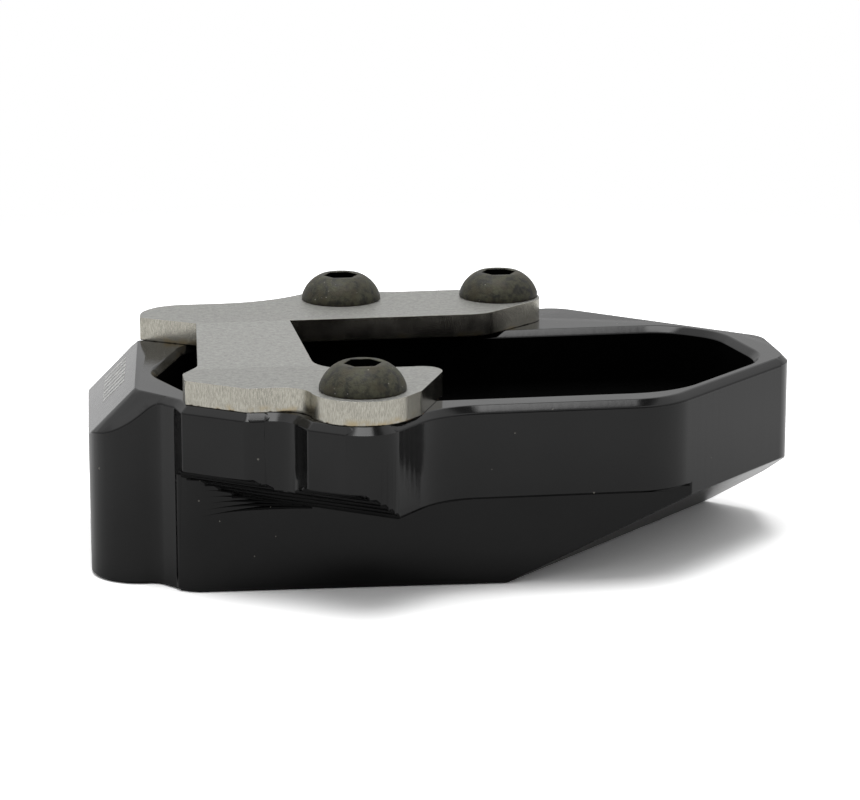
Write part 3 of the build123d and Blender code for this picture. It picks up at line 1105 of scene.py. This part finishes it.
@dataclass
class ClampPlate:
    """The laser-cut plate over the pocket, with beads of dross along its lower front edge."""

    nodes: dict[str, Object]
    edge: float = 0.05
    edge_limit: float = 25.0
    narrow: float = 0.5
    level: float = 0.9  # least upright share of a sheet face's normal
    front_y: float = -14.0
    front_lean: float = 0.15  # least front share of a front side's normal
    bead_spacing: float = 0.22
    bead_share: float = 0.22
    bead_r: Pair = (0.02, 0.1)
    bead_seed: int = 7
    bead_detail: int = 2
    face: SheetFinish = SheetFinish()
    cut: CutEdgeFinish = CutEdgeFinish()
    dross: MottledFinish = DROSS

    def build(self) -> list[Object]:
        """Make the plate with its edges broken, and the beads.

        Returns:
            The pieces.
        """
        copy = merged_copy(self.nodes["clamp_plate"], "clamp_sheet")
        self.beads = self.grow_beads(self.lower_front_edge(copy))
        self.sheet = eased(copy, self.edge, self.edge_limit, self.narrow)
        return [self.sheet, self.beads]

    def lower_front_edge(self, sheet: Object) -> Object:
        """Wire along the lower edge of the plate's front side.

        Args:
            sheet: The plate, with its edges still sharp.

        Returns:
            An object that has the wire as its mesh.
        """
        low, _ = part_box("clamp_plate")
        bm = bmesh.new()
        bm.from_mesh(sheet.data)
        points = []
        for edge in bm.edges:
            level = all(abs(vertex.co.z - low.z) < WIRE_MM * MM for vertex in edge.verts)
            front = any(face.normal.y < -self.front_lean for face in edge.link_faces)
            if level and front and all(vertex.co.y < self.front_y * MM for vertex in edge.verts):
                points.extend(tuple(vertex.co) for vertex in edge.verts)
        bm.free()
        mesh = bpy.data.meshes.new("dross_beads")
        mesh.from_pydata(points, [(index, index + 1) for index in range(0, len(points), 2)], [])
        wire = bmesh.new()
        wire.from_mesh(mesh)
        bmesh.ops.remove_doubles(wire, verts=wire.verts, dist=WIRE_MM * MM)
        wire.to_mesh(mesh)
        wire.free()
        return placed("dross_beads", mesh)

    def grow_beads(self, wire: Object) -> Object:
        """Scatter small beads along a wire.

        Args:
            wire: Object with the wire; it gets the beads.

        Returns:
            The same object, with the beads as a plain mesh.
        """
        smallest, largest = (value * MM for value in self.bead_r)
        knobs = {
            "Spacing": self.bead_spacing * MM,
            "Share": self.bead_share,
            "Smallest": smallest,
            "Largest": largest,
            "Seed": self.bead_seed,
            "Material": self.dross.material(),
        }
        g = Growth("dross_beads", knobs)
        seed = {"Seed": g.inputs["Seed"]}
        curve = g.add("GeometryNodeMeshToCurve", {"Mesh": g.inputs["Geometry"]}).outputs["Curve"]
        spread = {"Curve": curve, "Length": g.inputs["Spacing"]}
        points = g.add("GeometryNodeCurveToPoints", spread, mode="LENGTH").outputs["Points"]
        chance = {"Probability": g.inputs["Share"], **seed}
        chosen = g.add("FunctionNodeRandomValue", chance, data_type="BOOLEAN").outputs[RANDOM_CHANCE]
        limits = {RANDOM_LOW: g.inputs["Smallest"], RANDOM_HIGH: g.inputs["Largest"], **seed}
        radius = g.add("FunctionNodeRandomValue", limits, data_type="FLOAT").outputs[RANDOM_NUMBER]
        ball = {"Radius": 1.0, "Subdivisions": self.bead_detail}
        bead = g.add("GeometryNodeMeshIcoSphere", ball).outputs["Mesh"]
        feeds = {"Points": points, "Selection": chosen, "Instance": bead, "Scale": radius}
        return g.grow(g.add("GeometryNodeInstanceOnPoints", feeds).outputs["Instances"], wire)

    def coat(self, face: Face) -> PlateCoat:
        """Choose a face's finish."""
        return PlateCoat.SHEET if abs(face.normal.z) > self.level else PlateCoat.CUT

    def dress(self) -> None:
        """Give faces and cut edges their finishes, and the pieces their places in the frame."""
        dress_faces(self.sheet.data, [self.face.material(), self.cut.material()], self.coat)
        self.beads.data.shade_smooth()
        settle(self.sheet, "clamp_plate")
        settle(self.beads)


@dataclass
class ButtonScrews:
    """The three button-head screws, with painted shade in their sockets."""

    nodes: dict[str, Object]
    names: tuple[str, ...] = ("clamp_screw_front", "clamp_screw_rear_left", "clamp_screw_rear_right")
    edge: float = 0.1
    edge_limit: float = 35.0
    narrow: float = 0.3
    socket_r: float = 2.35
    socket_depth: Pair = (0.15, 2.5)
    finish: ScrewFinish = ScrewFinish()
    # painted shade: a near-black, dull finish for the inside of the sockets
    lining: LiningFinish = LiningFinish("socket_painted_shade")

    def build(self) -> list[Object]:
        """Make the screws with their edges broken.

        Returns:
            The screws.
        """
        self.pieces = []
        for name in self.names:
            copy = merged_copy(self.nodes[name], f"{name}_steel")
            self.pieces.append(eased(copy, self.edge, self.edge_limit, self.narrow))
        return self.pieces

    def coat(self, face: Face, low: Vector, high: Vector) -> ScrewCoat:
        """Choose a face's finish.

        Args:
            face: A face of a screw.
            low: Lowest corner of the screw's box.
            high: Highest corner of it.

        Returns:
            The finish.
        """
        middle = (low + high) / 2
        across = math.hypot(face.center.x - middle.x, face.center.y - middle.y)
        sunk = (high.z - face.center.z) / MM
        shallow, deep = self.socket_depth
        # Faces inside the socket get painted shade.
        inside = across < self.socket_r * MM and shallow < sunk < deep
        return ScrewCoat.SOCKET if inside else ScrewCoat.STEEL

    def dress(self) -> None:
        """Give heads and sockets their finishes, and the screws their places in the frame."""
        coats = [self.finish.material(), self.lining.material()]
        for piece, name in zip(self.pieces, self.names):
            low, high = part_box(name)
            dress_faces(piece.data, coats, partial(self.coat, low=low, high=high))
            settle(piece, name)


@dataclass
class Studio:
    """White floor, soft light from above and the camera.

    The room is set by direction: a rise, side or way limits one coordinate of a ray's direction.
    """

    camera_place: Triple = (-66.42, -411.55, 121.37)
    pitch: float = 13.8
    yaw: float = 9.0
    focal_px: float = 3360.0
    image_px: float = 860.0
    sensor: float = 36.0
    clip_m: Pair = (0.01, 20.0)
    floor_m: float = 8.0
    floor_drop: float = 0.02
    box_m: float = 0.5
    box_place_m: Triple = (-0.04, -0.06, 0.62)
    box_radiance: float = 3.2
    fill: float = 0.48
    wall: float = 0.72
    ceiling: float = 1.35
    ceiling_rise: Pair = (0.35, 0.7)
    skirting: float = 0.72  # share of the wall's light close to the floor
    skirting_rise: Pair = (0.13, 0.24)
    behind: float = 0.45  # share of the light that comes from behind the camera
    behind_way: Pair = (-0.9, -0.6)
    gap: float = 0.3
    gap_rise: Pair = (0.82, 0.9)
    gap_side: Pair = (-0.1, 0.15)
    panel: float = 6.4
    panel_rise: float = 0.5
    panel_edge: float = 0.09
    panel_middle: Pair = (-0.07, 0.0)
    panel_half: Pair = (0.3, 0.34)
    finish: StageFinish = StageFinish()

    def build(self) -> None:
        """Make the stage, the lights and the camera."""
        self.lay_floor()
        self.hang_softbox()
        self.set_world()
        self.place_camera()

    def lay_floor(self) -> None:
        """Lay the floor just under the sole."""
        half, level = self.floor_m / 2, -self.floor_drop * MM
        corners = [(-half, -half, level), (half, -half, level), (half, half, level), (-half, half, level)]
        mesh = bpy.data.meshes.new("floor")
        mesh.from_pydata(corners, [], [(0, 1, 2, 3)])
        mesh.materials.append(self.finish.material())
        placed("floor", mesh)

    def hang_softbox(self) -> None:
        """Hang the soft light above the object."""
        lamp = bpy.data.lights.new("softbox", "AREA")
        lamp.shape = "SQUARE"
        lamp.size = self.box_m
        lamp.energy = self.box_radiance * math.pi * self.box_m**2
        obj = placed("softbox", lamp)
        obj.location = self.box_place_m
        obj.visible_glossy = False

    def set_world(self) -> None:
        """White surroundings: a gentle fill, and in reflections a room with a lamp panel overhead."""
        world = bpy.data.worlds.new("surroundings")
        bpy.context.scene.world = world
        world.use_nodes = True
        g = Graph(world.node_tree)
        way = g.add("ShaderNodeTexCoord").outputs["Generated"]
        glow = g.math("MAXIMUM", self.room(g, way), g.times(self.panel_share(g, way), self.panel))
        path = g.add("ShaderNodeLightPath")
        fill, mirrored, white = (
            g.add("ShaderNodeBackground", {"Color": grey(1.0), "Strength": strength}).outputs[0]
            for strength in (self.fill, glow, 1.0)
        )
        seen = {0: path.outputs["Is Camera Ray"], 1: mirrored, 2: white}
        both = {0: g.seen_share(), 1: fill, 2: g.add("ShaderNodeMixShader", seen).outputs[0]}
        g.add("ShaderNodeOutputWorld", {"Surface": g.add("ShaderNodeMixShader", both).outputs[0]})

    def room(self, g: Graph, way: Socket) -> Socket:
        """Light of the walls and the ceiling, with a dim gap beside the lamp panel.

        Args:
            g: The world's tree.
            way: Direction of a ray.

        Returns:
            The strength of the light from there.
        """
        rise = g.axis(way, "Z")
        light = g.ramp(rise, *self.ceiling_rise, self.wall, self.ceiling)
        light = g.times(light, g.ramp(rise, *self.skirting_rise, self.skirting, 1.0))
        light = g.times(light, g.ramp(g.axis(way, "Y"), *self.behind_way, self.behind, 1.0))
        gap = g.times(g.ramp(rise, *self.gap_rise), g.ramp(g.axis(way, "X"), *self.gap_side))
        dim = g.math("SUBTRACT", 1.0, g.times(gap, 1.0 - self.gap / self.ceiling))
        return g.times(light, dim)

    def panel_share(self, g: Graph, way: Socket) -> Socket:
        """Soft-edged outline of the lamp panel overhead.

        Args:
            g: The world's tree.
            way: Direction of a ray.

        Returns:
            1 towards the panel and 0 elsewhere.
        """
        rise = g.axis(way, "Z")
        share = g.math("GREATER_THAN", rise, self.panel_rise)
        for letter, middle, half in zip("XY", self.panel_middle, self.panel_half):
            lean = g.math("SUBTRACT", g.math("DIVIDE", g.axis(way, letter), rise), middle)
            limits = (half - self.panel_edge, half + self.panel_edge)
            share = g.times(share, g.ramp(g.math("ABSOLUTE", lean), *limits, 1.0, 0.0))
        return share

    def place_camera(self) -> None:
        """Set the camera at the photograph's viewing angle."""
        data = bpy.data.cameras.new("camera")
        data.sensor_width = self.sensor
        data.sensor_fit = "HORIZONTAL"
        data.lens = self.focal_px / self.image_px * self.sensor
        data.clip_start, data.clip_end = self.clip_m
        camera = placed("camera", data)
        camera.location = Vector(self.camera_place) * MM
        camera.rotation_euler = (math.radians(90 - self.pitch), 0.0, math.radians(-self.yaw))
        bpy.context.scene.camera = camera


def main() -> None:
    """Build and dress the object's pieces in order, then the studio."""
    logging.basicConfig(level=logging.INFO, format="%(name)s: %(message)s")
    for obj in list(bpy.data.objects):
        bpy.data.objects.remove(obj)
    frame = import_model()
    for assembly in (FootBody(frame["nodes"]), ClampPlate(frame["nodes"]), ButtonScrews(frame["nodes"])):
        pieces = assembly.build()
        assembly.dress()
        for piece in pieces:
            LOG.info("%s: %d faces", piece.name, len(piece.data.polygons))
    Studio().build()
    bpy.context.scene.view_settings.view_transform = "Standard"


if __name__ == "__main__":
    main()
